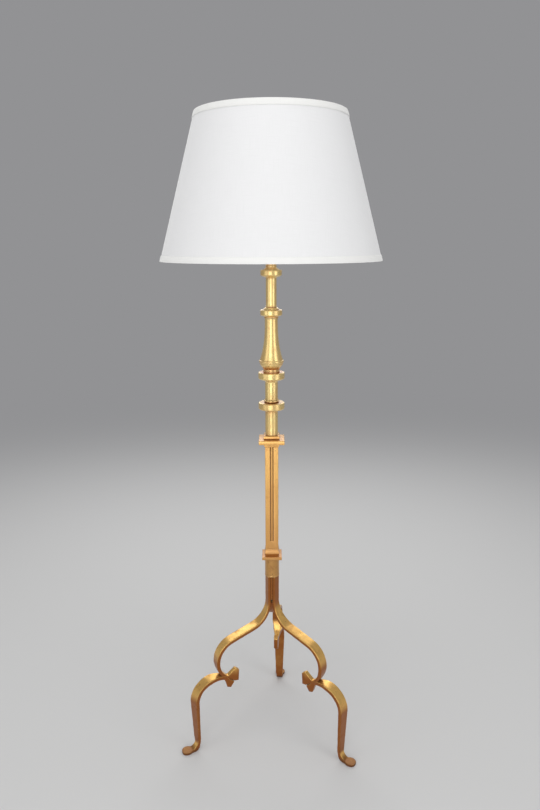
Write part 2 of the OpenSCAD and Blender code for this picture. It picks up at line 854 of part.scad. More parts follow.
module socket_cap() {
    inside_r = socket_r + socket_fit;
    outside_r = inside_r + socket_wall;
    floor_h = cap_floor_z - socket_z;
    color(brass) turned(socket_z, concat(
        [[0, 0], [9, 0], [10.5, 1], [0.8 * outside_r, 3], [outside_r - 1, 6.5],
         [outside_r, 8.5], [outside_r, socket_cap_h], [inside_r, socket_cap_h],
         [inside_r, floor_h], [0, floor_h]]
    ));
}

// Hole in a socket piece for the switch shaft, which points to -Y
module switch_hole(r) {
    translate([0, 0, switch_axis_z]) rotate([90, 0, 0]) cylinder(h = 2 * socket_r, r = r);
}

module socket_shell() {
    color(brass) difference() {
        translate([0, 0, cap_floor_z])
            tube(socket_shell_h, socket_r, socket_r - socket_wall);
        switch_hole(switch_hole_r);
    }
}

module socket_liner() {
    color(card) difference() {
        translate([0, 0, cap_floor_z])
            tube(socket_shell_h - 2, liner_r, liner_r - liner_wall);
        switch_hole(switch_hole_r);
    }
}

module switch_body() {
    color(black_plastic) difference() {
        translate([0, 0, cap_floor_z]) cylinder(h = switch_body_h, r = switch_body_r);
        translate([0, -switch_body_r + switch_bore_depth, 0])
            switch_hole(switch_shaft_d / 2 + switch_fit);
    }
}

module screw_shell() {
    shell_h = socket_shell_h - switch_body_h - 4;
    color(brass) translate([0, 0, switch_body_top])
        tube(shell_h, screw_r + screw_wall, screw_r);
}

module centre_contact() {
    color(brass) translate([0, 0, switch_body_top]) cylinder(h = contact_h, r = contact_r);
}

// Fluted knob on its shaft; the shaft's end runs in the switch body
module switch_knob() {
    flutes = 10;
    knob_y = socket_r + 1;
    shaft_end = switch_body_r - switch_bore_depth + 0.5;
    color(black_plastic) translate([0, 0, switch_axis_z]) rotate([90, 0, 0]) {
        translate([0, 0, shaft_end])
            cylinder(h = knob_y - shaft_end + 2, d = switch_shaft_d);
        translate([0, 0, knob_y]) difference() {
            cylinder(h = knob_len, d = knob_d);
            for (i = [0:flutes - 1])
                rotate(i * 360 / flutes) translate([knob_d / 2 + 0.6, 0, 2])
                    cylinder(h = knob_len, r = 1.2);
        }
    }
}

// ---- Bulb ---------------------------------------------------------------

module bulb_base() {
    r = bulb_base_r;
    color(brass) translate([0, 0, bulb_z]) rotate_extrude() polygon([
        [0, 0], [4.5, 0], [4.5, 1.5], [r - 2, 4.5], [r, 6.5], [r, bulb_base_h], [0, bulb_base_h]
    ]);
}

module bulb_glass() {
    ball_z = bulb_glass_h - bulb_r;
    color(frosted) translate([0, 0, bulb_z + bulb_base_h]) rotate_extrude() polygon(concat(
        [[0, 0], [bulb_base_r - 0.3, 0], [bulb_base_r, 0.15 * ball_z],
         [bulb_base_r + 3, 0.4 * ball_z]],
        arc([0, ball_z], bulb_r, -40, 90, 20)
    ));
}

// ---- Harp ---------------------------------------------------------------

module each_side() {
    children();
    rotate(180) children();
}

module harp_saddle() {
    post_w = rod_r + ferrule_wall + 0.4;
    color(brass) {
        turned(saddle_z, [[0, 0], [11, 0], [11, saddle_t], [0, saddle_t]]);
        difference() {
            translate([-saddle_half_w, -post_w, saddle_z])
                cube([2 * saddle_half_w, 2 * post_w, saddle_t]);
            pipe_bore(0);
        }
        each_side() translate([saddle_half_w, 0, 0]) {
            translate([0, 0, saddle_z]) cylinder(h = ferrule_z - saddle_z, r = post_w);
            translate([0, 0, ferrule_z]) cylinder(h = post_top - ferrule_z, r = rod_r);
        }
    }
}

// Each side rises from its post, steps out past the bulb and closes over the top
module harp() {
    flare_r = 15;
    flare_turn = 35;
    straight_h = ferrule_len / 2 + ferrule_travel + 2;
    flare_len = (harp_half_w - saddle_half_w - 2 * flare_r * (1 - cos(flare_turn)))
        / sin(flare_turn);
    flare_h = 2 * flare_r * sin(flare_turn) + flare_len * cos(flare_turn);
    top_r = harp_half_w - harp_plate_r + 2;
    crown_z = harp_top - harp_plate_t - rod_r;
    side_h = crown_z - top_r - post_top - straight_h - flare_h;
    boss_h = harp_plate_t + harp_rod_d + 1;
    color(brass) {
        each_side() translate([saddle_half_w, 0, post_top]) bent_rod([
            [straight_h, 0], [flare_r, flare_turn], [flare_len, 0], [flare_r, -flare_turn],
            [side_h, 0], [top_r, -90]
        ], rod_r);
        translate([0, 0, harp_top - boss_h]) cylinder(h = boss_h, r = harp_plate_r);
        translate([0, 0, harp_top]) cylinder(h = stud_len, d = stud_d);
    }
}

module ferrule(side) {
    inside_r = rod_r + ferrule_fit;
    color(brass) translate([side * saddle_half_w, 0, ferrule_z])
        tube(ferrule_len, inside_r + ferrule_wall, inside_r);
}

// ---- Shade --------------------------------------------------------------

// Place that lies a distance in from the outer face of the shade, at height z
function shade_place(inset, z) =
    [shade_bottom_r - (z - shade_z) * tan(shade_slope) - inset, z];

module ring(inset, z) {
    rotate_extrude() translate(shade_place(inset, z)) circle(d = wire_d);
}

// Washer, three arms and the top ring, welded into one frame
module shade_spider() {
    arm_z = spider_z + spider_washer_t / 2;
    arm_start = finial_foot_r + 0.5;
    arm_r = wire_d / 2 - 0.2;
    bend_r = 6;
    bend_turn = 90 + shade_slope;
    ring_r = shade_place(wire_in, top_ring_z)[0];
    tip_len = (top_ring_z - arm_z - bend_r * (1 - cos(bend_turn))) / sin(bend_turn);
    arm_len = ring_r - arm_start - bend_r * sin(bend_turn) - tip_len * cos(bend_turn);
    color(brass) {
        difference() {
            union() {
                translate([0, 0, spider_z]) cylinder(h = spider_washer_t, r = spider_washer_r);
                for (i = [1:leg_count])
                    at_leg(i) translate([arm_start, 0, arm_z]) rotate([0, 90, 0])
                        bent_rod([[arm_len, 0], [bend_r, -bend_turn], [tip_len, 0]], arm_r);
            }
            translate([0, 0, spider_z - wire_d])
                cylinder(h = 3 * wire_d, d = stud_d + 4 * turn_gap);
        }
        ring(wire_in, top_ring_z);
    }
}

module shade_bottom_ring() {
    color(brass) ring(wire_in, bottom_ring_z);
}

module shade_fabric() {
    foot = shade_z + trim_t + glue_gap;
    head = shade_top - trim_t - glue_gap;
    color(linen) rotate_extrude() polygon([
        shade_place(fabric_in, foot), shade_place(fabric_in, head),
        shade_place(fabric_in + fabric_t, head), shade_place(fabric_in + fabric_t, foot)
    ]);
}

// Band folded over an edge of the shade; up is 1 on the bottom edge, -1 on the top
module trim_band(edge_z, up) {
    color(trim_linen) rotate_extrude() polygon([
        shade_place(0, edge_z), shade_place(0, edge_z + up * trim_h),
        shade_place(trim_t, edge_z + up * trim_h), shade_place(trim_t, edge_z + up * trim_t),
        shade_place(trim_in - trim_t, edge_z + up * trim_t),
        shade_place(trim_in - trim_t, edge_z + up * trim_lip),
        shade_place(trim_in, edge_z + up * trim_lip), shade_place(trim_in, edge_z)
    ]);
}

module shade_top_trim() {
    trim_band(shade_top, -1);
}

module shade_bottom_trim() {
    trim_band(shade_z, 1);
}

// ---- Finial -------------------------------------------------------------

module finial() {
    ball_z = 0.48 * finial_h;
    color(gilt) translate([0, 0, finial_z]) difference() {
        rotate_extrude() polygon(concat(
            [[0, 0], [finial_foot_r, 0], [finial_foot_r, 2.5], [finial_foot_r - 2, 4],
             [5.5, 6], [5.2, 8], [6.5, 9.5]],
            arc([0, ball_z], finial_ball_r, -50, 62, 14),
            [[4.2, 0.74 * finial_h], [3, 0.79 * finial_h], [4, 0.84 * finial_h],
             [3.2, 0.93 * finial_h], [0, finial_h]]
        ));
        translate([0, 0, -overcut]) cylinder(h = stud_len + overcut, d = stud_d + 2 * turn_gap);
    }
}

// ---- Assembly -----------------------------------------------------------

for (i = [1:leg_count]) {
    leg_scroll(i);
    leg_bar(i);
}
hub_core();
pipe_washer();
pipe_locknut();
pipe_bushing();
lamp_pipe();
hub_collar();
foot_plate();
foot_moulding();
square_shaft();
for (i = [1:face_count])
    reed(i);
cap_neck();
cap_plate();
cap_step();
lower_stem();
lower_disk();
middle_stem();
upper_disk();
vase();
collar_knop();
top_stem();
top_knop();
neck();
check_ring();
riser();
harp_saddle();
harp();
ferrule(-1);  // ferrule_left
ferrule(1);  // ferrule_right
socket_cap();
socket_shell();
socket_liner();
switch_body();
screw_shell();
centre_contact();
switch_knob();
bulb_base();
bulb_glass();
shade_spider();
shade_bottom_ring();
shade_fabric();
shade_top_trim();
shade_bottom_trim();
finial();
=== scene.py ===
import math
import bmesh
import bpy
from mathutils import Matrix, Vector, noise


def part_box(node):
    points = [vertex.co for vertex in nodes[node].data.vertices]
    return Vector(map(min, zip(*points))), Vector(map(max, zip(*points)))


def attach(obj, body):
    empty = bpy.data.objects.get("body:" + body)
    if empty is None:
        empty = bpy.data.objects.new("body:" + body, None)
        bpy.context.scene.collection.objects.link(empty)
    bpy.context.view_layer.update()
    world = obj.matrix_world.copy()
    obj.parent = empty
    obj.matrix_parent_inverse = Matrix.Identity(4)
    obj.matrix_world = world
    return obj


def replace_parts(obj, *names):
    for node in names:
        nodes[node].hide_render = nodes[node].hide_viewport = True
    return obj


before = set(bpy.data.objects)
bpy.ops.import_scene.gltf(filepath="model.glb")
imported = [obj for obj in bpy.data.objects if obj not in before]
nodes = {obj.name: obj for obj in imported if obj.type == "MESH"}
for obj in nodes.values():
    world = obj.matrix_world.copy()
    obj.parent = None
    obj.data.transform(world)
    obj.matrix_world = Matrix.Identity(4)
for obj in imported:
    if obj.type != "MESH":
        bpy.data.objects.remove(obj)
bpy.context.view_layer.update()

# ---- Camera --------------------------------------------------------------
# Stands where the photograph was taken from: a little above the shade's foot,
# looking down at the column, in a portrait frame.
CAMERA_PLACE = (0.1724, -1.7276, 1.3555)
CAMERA_TURN, CAMERA_TILT, CAMERA_ROLL = 5.83, 76.77, -0.21
camera = bpy.data.objects.new("camera", bpy.data.cameras.new("camera"))
camera.data.lens = 30.91
camera.data.sensor_width = 36
camera.matrix_world = (
    Matrix.Translation(CAMERA_PLACE)
    @ Matrix.Rotation(math.radians(CAMERA_TURN), 4, "Z")
    @ Matrix.Rotation(math.radians(CAMERA_TILT), 4, "X")
    @ Matrix.Rotation(math.radians(CAMERA_ROLL), 4, "Z")
)
bpy.context.collection.objects.link(camera)
bpy.context.scene.camera = camera
bpy.context.scene.view_settings.view_transform = "Standard"

# ---- Leg bars ------------------------------------------------------------
# Six forged flat bars: three sweep out of the hub and curl back in, three carry
# on to the floor. Iron under aged gold leaf on a red ground, joined by fishtails.


def colour(red, green, blue):
    """Linear colour of a screen colour from 0 to 255"""
    return tuple(((v / 255 + 0.055) / 1.055) ** 2.4 for v in (red, green, blue)) + (1,)


def add(tree, kind, inputs=None, **settings):
    """Adds a shader node whose inputs are values, or the sockets that feed them"""
    made = tree.nodes.new("ShaderNode" + kind)
    for name, value in settings.items():
        setattr(made, name, value)
    for key, value in (inputs or {}).items():
        if isinstance(value, bpy.types.NodeSocket):
            tree.links.new(value, made.inputs[key])
        else:
            made.inputs[key].default_value = value
    return made


def calc(tree, operation, a, b=0.0):
    """Result of a sum, product or other calculation on one or two values"""
    return add(tree, "Math", {0: a, 1: b}, operation=operation).outputs[0]


def between(tree, value, low, high, to_low=0.0, to_high=1.0):
    """Smooth step of a value from low to high"""
    return add(tree, "MapRange", {
        "Value": value, "From Min": low, "From Max": high, "To Min": to_low, "To Max": to_high,
    }, interpolation_type="SMOOTHSTEP").outputs[0]


def mixed(tree, share, a, b):
    """Mix of two colours, with the given share of the second"""
    return add(tree, "Mix", {0: share, 6: a, 7: b}, data_type="RGBA").outputs[2]


def spots(tree, place, scale, detail=3.0, rough=0.55):
    """Noise from 0 to 1, in spots that get smaller as scale grows"""
    return add(tree, "TexNoise", {
        "Vector": place, "Scale": scale, "Detail": detail, "Roughness": rough,
    }).outputs[0]


def effect(name, inputs, outputs):
    """Starts a shader node group; returns it with its inner input and output sockets"""
    group = bpy.data.node_groups.new(name, "ShaderNodeTree")
    for label, kind, value in inputs:
        group.interface.new_socket(
            label, in_out="INPUT", socket_type="NodeSocket" + kind).default_value = value
    for label, kind in outputs:
        group.interface.new_socket(label, in_out="OUTPUT", socket_type="NodeSocket" + kind)
    inner = group.nodes.new("NodeGroupInput").outputs
    outer = group.nodes.new("NodeGroupOutput").inputs
    return group, inner, outer


def gilding_effect():
    """Gold leaf on a red ground, rubbed in patches, with painted shade and painted edge
    highlights
    """
    group, given, out = effect("aged_gilding", [
        ("Leaf", "Color", colour(226, 180, 92)),
        ("Ground", "Color", colour(176, 84, 30)),
        ("Patina", "Color", colour(84, 46, 16)),
        ("Patch Scale", "Float", 60.0),
        ("Rubbing", "Float", 0.5),
        ("Dirt", "Float", 0.6),
        ("Bare Sides", "Float", 0.0),
        ("Ledge Grime", "Float", 0.0),
        ("Low Grime", "Float", 0.0),
        ("Grime Top", "Float", 1.0),
        ("Grime Foot", "Float", 0.0),
        ("Metal Share", "Float", 0.8),
    ], [("Color", "Color"), ("Roughness", "Float"), ("Metallic", "Float"),
        ("Height", "Float"), ("Normal", "Vector")])
    place = add(group, "TexCoord").outputs["Object"]
    patches = spots(group, place, given["Patch Scale"], 5.0, 0.62)
    flecks = spots(group, place, 420.0, 2.0)
    clouds = spots(group, place, 17.0, 2.0)
    soft = add(group, "Bevel", {"Radius": 0.0011}, samples=6).outputs[0]
    geometry = add(group, "NewGeometry").outputs
    upward = add(group, "SeparateXYZ", {0: geometry["Normal"]}).outputs[2]
    leaf = mixed(group, between(group, clouds, 0.3, 0.7), given["Leaf"],
                 mixed(group, 0.22, given["Leaf"], given["Ground"]))
    # Painted shade: faces that turn away from straight up take the ground's colour
    upward_cloud = calc(group, "ADD", upward, calc(group, "MULTIPLY", clouds, 0.3))
    bare = calc(group, "MULTIPLY", between(group, upward_cloud, 0.62, 0.10), given["Bare Sides"])
    # Painted shade, darker towards the bottom: below a given height the ground's and the
    # patina's colours come in
    height = add(group, "SeparateXYZ", {0: place}).outputs[2]
    height = calc(group, "ADD", height, calc(group, "MULTIPLY", patches, 0.01))
    low = between(group, height, given["Grime Top"], given["Grime Foot"])
    bare = calc(group, "MAXIMUM", bare, calc(group, "MULTIPLY", low, given["Low Grime"]))
    worn = calc(group, "MULTIPLY", between(group, patches, 0.50, 0.72), given["Rubbing"])
    surface = mixed(group, calc(group, "MAXIMUM", worn, bare), leaf, given["Ground"])
    fleck = calc(group, "MULTIPLY", between(group, flecks, 0.60, 0.72), 0.22)
    surface = mixed(group, fleck, surface, given["Patina"])
    # Painted shade: wide recesses, which ambient occlusion finds, take the ground's orange
    wide_open = add(group, "AmbientOcclusion", {"Distance": 0.045}, samples=8).outputs["AO"]
    shaded_recess = calc(group, "MULTIPLY", between(group, wide_open, 0.90, 0.42), given["Dirt"])
    surface = mixed(group, shaded_recess, surface, given["Ground"])
    # Painted shade: narrow recesses, up-facing ledges and the lowest parts take the patina's
    # brown
    open_share = add(group, "AmbientOcclusion", {"Distance": 0.010}, samples=8).outputs["AO"]
    hidden = calc(group, "MULTIPLY", between(group, open_share, 0.85, 0.25), given["Dirt"])
    shaded_ledge = calc(group, "MULTIPLY", between(group, upward, 0.90, 0.985), given["Ledge Grime"])
    shaded_low = calc(group, "MULTIPLY", calc(group, "MULTIPLY", low, given["Low Grime"]), 0.6)
    hidden = calc(group, "MAXIMUM", hidden, calc(group, "MAXIMUM", shaded_ledge, shaded_low))
    surface = mixed(group, hidden, surface, given["Patina"])
    turn = add(group, "VectorMath", {0: soft, 1: geometry["Normal"]},
               operation="DOT_PRODUCT").outputs["Value"]
    edge = between(group, turn, 0.995, 0.93)
    edge = calc(group, "MULTIPLY", edge, between(group, open_share, 0.55, 0.85))
    edge = calc(group, "MULTIPLY", edge, between(group, patches, 0.35, 0.6, 0.3, 0.9))
    # Painted highlight: edges, where the bevel bends the normal, are painted pale gold
    edge_highlight = mixed(group, 0.5, given["Leaf"], colour(255, 238, 176))
    surface = mixed(group, calc(group, "MULTIPLY", edge, 0.7), surface, edge_highlight)
    group.links.new(surface, out["Color"])
    rough = between(group, patches, 0.3, 0.75, 0.27, 0.42)
    rough = calc(group, "ADD", rough, calc(group, "MULTIPLY", hidden, 0.25))
    group.links.new(rough, out["Roughness"])
    leafed = calc(group, "SUBTRACT", 1.0, calc(group, "MULTIPLY", hidden, 0.5))
    group.links.new(calc(group, "MULTIPLY", leafed, given["Metal Share"]), out["Metallic"])
    relief = calc(group, "ADD", calc(group, "MULTIPLY", patches, 0.8),
                  calc(group, "MULTIPLY", flecks, 0.25))
    group.links.new(relief, out["Height"])
    group.links.new(soft, out["Normal"])
    return group


def blank_material(name):
    """Material with nothing but a Principled shader"""
    material = bpy.data.materials.new(name)
    material.use_nodes = True
    tree = material.node_tree
    return material, tree, tree.nodes["Principled BSDF"].inputs


def bump(tree, height, strength, distance, normal=None):
    """Normal of a surface with a relief on it"""
    inputs = {"Height": height, "Strength": strength, "Distance": distance}
    if normal is not None:
        inputs["Normal"] = normal
    return add(tree, "Bump", inputs).outputs[0]


def fed_material(name, group, looks):
    """Material fed by a node group; looks are inputs of the group, with _ for a space"""
    material, tree, shader = blank_material(name)
    made = add(tree, "Group", node_tree=group)
    for label, value in looks.items():
        made.inputs[label.replace("_", " ")].default_value = value
    for label, socket in (("Color", "Base Color"), ("Roughness", "Roughness"),
                          ("Metallic", "Metallic")):
        if label in made.outputs:
            tree.links.new(made.outputs[label], shader[socket])
    return material, tree, shader, made.outputs


GILDING = gilding_effect()


def gilded(name, relief, coat, **looks):
    """Material of gold leaf under a waxy coat; looks are inputs of the gilding"""
    material, tree, shader, made = fed_material(name, GILDING, looks)
    normal = bump(tree, made["Height"], relief, 0.0006, made["Normal"])
    tree.links.new(normal, shader["Normal"])
    for label, value in (("Coat Weight", coat), ("Coat IOR", 1.8), ("Coat Roughness", 0.3)):
        shader[label].default_value = value
    return material


def dress(material, *names):
    """Gives CAD nodes a material of the scene"""
    for name in names:
        for place in nodes[name].material_slots:
            place.material = material


# The bars' sides, feet and recesses are painted in shade, and their edges carry a painted
# highlight
gilt_iron = gilded(
    "gilt_iron", 0.3, 0.1, Leaf=colour(255, 206, 118), Ground=colour(150, 80, 22),
    Patina=colour(72, 42, 14), Patch_Scale=45.0, Rubbing=0.4, Dirt=0.4, Bare_Sides=0.95,
    Low_Grime=0.9, Grime_Top=0.022, Grime_Foot=0.008)

# The bars' middle lines, in the plane that holds a leg and the column's axis
HUB_R, HUB_TOP = 0.012, 0.474
GRIP, SWEEP_R, SWEEP_TURN, SLOPE_LEN = 0.074, 0.072, 70, 0.068
CURL_R, CURL_TURN, CROWN_R, CROWN_RISE, ANKLE_LEAN = 0.062, 125, 0.060, 27, 2
BAR_W, HUB_W, TAIL_W, ANKLE_W, PAD_T = 0.030, 0.021, 0.012, 0.020, 0.007
TOE_R = 0.0145
# The shin of the left leg was twisted a little in the forging, the others hardly
TWISTS = (0, -16, 6)
TWIST_RUN = [(0.012, 0), (0.035, 1), (0.150, 1), (0.225, 0)]
# Thickness along the scrolls and along the lower bars, by share of their length
SCROLL_T = [(0, 0.008), (0.25, 0.008), (0.45, 0.0095), (1, 0.0095)]
LEG_T = [(0, 0.0105), (0.5, 0.0100), (1, 0.0078)]
EDGE_ROUND, EDGE_ANGLE = 0.0014, 38
# Depth and fineness of the hammer's dents and of the small flaws in them, and how far
# both lie below the plain face
DENT, DENT_SCALE, FLAW, FLAW_SCALE, SUNK = 0.00035, 75, 0.00010, 210, 0.00015
# Spacing of a bar's cross-sections
STATION = 0.004


def walk(start, runs):
    """Places (out, height, heading) along a bar; a run is (length, 0) or (radius, angle)"""
    out, high, heading = start
    line = [start]
    for size, turn in runs:
        bend = math.radians(turn)
        count = max(1, round((size * abs(bend) if turn else size) / STATION))
        for _ in range(count):
            if turn:
                side = math.copysign(size, turn)
                middle = out - side * math.sin(heading), high + side * math.cos(heading)
                heading += bend / count
                out = middle[0] + side * math.sin(heading)
                high = middle[1] - side * math.cos(heading)
            else:
                out += size / count * math.cos(heading)
                high += size / count * math.sin(heading)
            line.append((out, high, heading))
    return line


def read_off(value, table):
    """Reads a table of (place, result) rows, whose places rise, with straight joins"""
    for (near, first), (far, second) in zip(table, table[1:]):
        if value <= far:
            share = min(max((value - near) / (far - near), 0.0), 1.0)
            return first + (second - first) * share
    return table[-1][1]


def sections(line, thicknesses, width_at):
    """Cross-sections of a bar: its left face, its right face and its width"""
    found = []
    for index, (out, high, heading) in enumerate(line):
        half = read_off(index / (len(line) - 1), thicknesses) / 2
        across = half * math.sin(heading), half * math.cos(heading)
        found.append(((out - across[0], high + across[1]), (out + across[0], high - across[1]),
                      width_at(out, high)))
    return found


def finished(name, mesh, body, material, crease=42):
    """Turns a mesh into a smooth piece with sharp creases and a material, on a body"""
    data = bpy.data.meshes.new(name)
    mesh.to_mesh(data)
    mesh.free()
    data.materials.append(material)
    for face in data.polygons:
        face.use_smooth = True
    data.set_sharp_from_angle(angle=math.radians(crease))
    piece = bpy.data.objects.new(name, data)
    bpy.context.collection.objects.link(piece)
    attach(piece, body)
    return piece


def forged(name, rows, leg, node, twist=0):
    """Drives a bar's section along its rows, rounds its edges and leaves hammer marks"""
    mesh = bmesh.new()

    def corners(row):
        left, right = (Vector((out, 0, high)) for out, high in row[:2])
        middle, thick = (left + right) / 2, (left - right) / 2
        wide = Vector((0, row[2] / 2, 0))
        turned = read_off(middle.z, TWIST_RUN) * twist
        turn = Matrix.Rotation(math.radians(turned), 3, wide.cross(thick))
        thick, wide = turn @ thick, turn @ wide
        return [middle + thick - wide, middle + thick + wide,
                middle - thick + wide, middle - thick - wide]

    places = corners(rows[0])
    verts = [mesh.verts.new(place) for place in places]
    ring = [mesh.edges.new((verts[i - 1], verts[i])) for i in range(4)]
    wide_edges = [ring[1], ring[3]]
    for row in rows[1:]:
        made = bmesh.ops.extrude_edge_only(mesh, edges=ring)["geom"]
        fresh = [part for part in made if isinstance(part, bmesh.types.BMVert)]
        order = [min(fresh, key=lambda vert: (vert.co - place).length) for place in places]
        places = corners(row)
        for vert, place in zip(order, places):
            vert.co = place
        ring = [mesh.edges.get((order[i - 1], order[i])) for i in range(4)]
        wide_edges += [ring[1], ring[3]]
    bmesh.ops.subdivide_edges(mesh, edges=wide_edges, cuts=4, use_grid_fill=True)
    bmesh.ops.holes_fill(mesh, edges=mesh.edges, sides=0)
    bmesh.ops.recalc_face_normals(mesh, faces=mesh.faces)
    sharp = [edge for edge in mesh.edges
             if edge.is_manifold and edge.calc_face_angle() > math.radians(EDGE_ANGLE)]
    bmesh.ops.bevel(mesh, geom=sharp, offset=EDGE_ROUND, segments=3, profile=0.5,
                    affect="EDGES", material=-1, clamp_overlap=True)
    mesh.normal_update()
    for vert in mesh.verts:
        dent = noise.noise(vert.co * DENT_SCALE + Vector((7.0 * leg, 0, 0)))
        flaw = noise.noise(vert.co * FLAW_SCALE + Vector((0, 5.0 * leg, 0)))
        vert.co += vert.normal * (DENT * dent + FLAW * flaw - SUNK)
        vert.co.z = min(max(vert.co.z, 0.0), HUB_TOP)
    bmesh.ops.rotate(mesh, verts=mesh.verts, cent=(0, 0, 0),
                     matrix=Matrix.Rotation(math.radians(90 + 120 * (leg - 1)), 3, "Z"))
    bmesh.ops.recalc_face_normals(mesh, faces=mesh.faces)
    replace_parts(finished(name, mesh, "stand", gilt_iron), node)


upper_line = walk((HUB_R, HUB_TOP, math.radians(-90)), [
    (GRIP, 0), (SWEEP_R, SWEEP_TURN), (SLOPE_LEN, 0), (CURL_R, -CURL_TURN)])
JOINT = upper_line[-1][:2]
# The lower bar springs from beside the scroll's end, this far out and down
SPRING_OUT, SPRING_DOWN = 0.00396, 0.00099
lower_start = (JOINT[0] + SPRING_OUT, JOINT[1] - SPRING_DOWN, math.radians(CROWN_RISE))
crown_turn = 90 + CROWN_RISE + ANKLE_LEAN
knee = walk(lower_start, [(CROWN_R, -crown_turn)])[-1]
lean = math.radians(ANKLE_LEAN)
SHIN_FOOT = 0.026
shin = (knee[1] - SHIN_FOOT) / math.cos(lean)
lower_line = walk(lower_start, [(CROWN_R, -crown_turn), (shin, 0)])
heel = lower_line[-1][0]
pad_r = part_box("leg_bar_1")[1].y - TOE_R


def at_joint(*places):
    """Cross-sections of a fishtail end, in millimetres out from and above the joint"""
    return [tuple((JOINT[0] + out / 1000, JOINT[1] + high / 1000) for out, high in pair)
            + (wide / 1000,) for *pair, wide in places]


scroll_tail = at_joint(((-4, -5), (-3, 4), 13), ((-14, -11), (-13, 12), 12.5),
                       ((-22, -17), (-25, 21.5), 12), ((-34, -18), (-36, 14), 11))
bar_tail = at_joint(((-12, -33), (-1.5, -31), 11), ((-21, -17.5), (1.5, -21), 12),
                    ((-10, -9), (4.5, -12), 12.5), ((-1, 0), (7, -7), 12.5))
# Widths of the bars by height or by reach: narrow at the fishtails, the hub and the ankle
CURL_TAPER, SWEEP_TAPER, CROWN_TAPER = 0.041, 0.136, 0.046
scroll_widths = [(JOINT[1], TAIL_W), (JOINT[1] + CURL_TAPER, BAR_W),
                 (JOINT[1] + SWEEP_TAPER, BAR_W), (HUB_TOP - GRIP, HUB_W), (HUB_TOP, HUB_W)]
crown_widths = [(JOINT[0], TAIL_W), (JOINT[0] + CROWN_TAPER, BAR_W)]
shin_widths = [(0.0, ANKLE_W), (knee[1], BAR_W)]
# The foot: the shin turns out and thins into a round pad on the floor
foot_rows = [
    ((heel + 0.0052, 0.019), (heel - 0.0034, 0.018), 0.0188),
    ((heel + 0.0098, 0.0125), (heel - 0.0022, 0.0095), 0.0186),
    ((heel + 0.0150, 0.0085), (heel + 0.0020, 0.0030), 0.0186),
    ((heel + 0.0185, PAD_T), (heel + 0.0080, 0.0), 0.0192),
]
PAD_SLANTS, TOE_DROP, PAD_FULLNESS = (-42, -22, 0, 20, 38, 54, 68, 79), 0.0012, 0.8
for slant in PAD_SLANTS:
    out = pad_r + TOE_R * math.sin(math.radians(slant))
    wide = 2 * TOE_R * math.cos(math.radians(slant)) ** PAD_FULLNESS
    tall = PAD_T - TOE_DROP * max(0, slant) / PAD_SLANTS[-1]
    foot_rows.append(((out, tall), (out, 0.0), wide))

for leg in (1, 2, 3):
    forged(f"forged_scroll_{leg}", sections(
        upper_line[:-1], SCROLL_T, lambda out, high: read_off(high, scroll_widths))
        + scroll_tail, leg, f"leg_scroll_{leg}")
    forged(f"forged_leg_{leg}", bar_tail + sections(
        lower_line, LEG_T, lambda out, high: min(
            read_off(out, crown_widths), read_off(high, shin_widths)))
        + foot_rows, leg, f"leg_bar_{leg}", TWISTS[leg - 1])

# ---- Hub and pipe --------------------------------------------------------
# A three-sided core, gilded with the bars that it joins. The column's threaded pipe
# runs through it, held below by a steel washer and nut and lined by a bushing.


def plate_effect():
    """Plated or bare metal: faint clouds, a fine grain and dull recesses"""
    group, given, out = effect("satin_metal", [
        ("Metal", "Color", colour(205, 172, 98)),
        ("Dull", "Color", colour(140, 104, 50)),
        ("Low Roughness", "Float", 0.26),
        ("High Roughness", "Float", 0.42),
    ], [("Color", "Color"), ("Roughness", "Float"), ("Height", "Float")])
    place = add(group, "TexCoord").outputs["Object"]
    clouds = spots(group, place, 70.0, 4.0)
    grain = spots(group, place, 900.0, 2.0)
    # Recesses, which ambient occlusion finds, are darker, towards the dull colour
    open_share = add(group, "AmbientOcclusion", {"Distance": 0.008}, samples=6).outputs["AO"]
    hidden = calc(group, "MULTIPLY", between(group, open_share, 0.9, 0.3), 0.7)
    dull = calc(group, "MULTIPLY", between(group, clouds, 0.45, 0.75), 0.35)
    surface = mixed(group, calc(group, "MAXIMUM", hidden, dull), given["Metal"], given["Dull"])
    group.links.new(surface, out["Color"])
    spread = calc(group, "SUBTRACT", given["High Roughness"], given["Low Roughness"])
    rough = calc(group, "MULTIPLY", between(group, clouds, 0.3, 0.7), spread)
    group.links.new(calc(group, "ADD", rough, given["Low Roughness"]), out["Roughness"])
    group.links.new(grain, out["Height"])
    return group


PLATE = plate_effect()


def plated(name, **looks):
    """Material of plated or bare metal; looks are inputs of the plate effect"""
    material, tree, shader, made = fed_material(name, PLATE, looks)
    shader["Metallic"].default_value = 1.0
    tree.links.new(bump(tree, made["Height"], 0.12, 0.0001), shader["Normal"])
    return material


def clouded(name, body, dust, scale, low=0.3, high=0.7):
    """Material with clouds of a second colour, and what else is needed to add to it"""
    material, tree, shader = blank_material(name)
    place = add(tree, "TexCoord").outputs["Object"]
    clouds = spots(tree, place, scale)
    tree.links.new(mixed(tree, between(tree, clouds, low, high), body, dust),
                   shader["Base Color"])
    return material, tree, shader, place, clouds


def moulded(name, body, dust, rough, grain_scale):
    """Plastic or fibre: a body colour with dust in it and a fine grain"""
    material, tree, shader, place, clouds = clouded(name, body, dust, 60.0, 0.4, 0.8)
    tree.links.new(between(tree, clouds, 0.3, 0.7, rough, rough + 0.12), shader["Roughness"])
    tree.links.new(bump(tree, spots(tree, place, grain_scale), 0.15, 0.0001), shader["Normal"])
    return material


steel = plated("bare_steel", Metal=colour(112, 104, 92), Dull=colour(70, 60, 48),
               Low_Roughness=0.36, High_Roughness=0.52)
brass = plated("satin_brass", Metal=colour(214, 180, 104), Dull=colour(150, 112, 56),
               Low_Roughness=0.24, High_Roughness=0.38)
black_plastic = moulded("black_plastic", colour(22, 22, 23), colour(34, 34, 35), 0.28, 700.0)
dress(gilt_iron, "hub_core")
dress(steel, "pipe_washer", "pipe_locknut")
dress(brass, "lamp_pipe")
dress(black_plastic, "pipe_bushing")
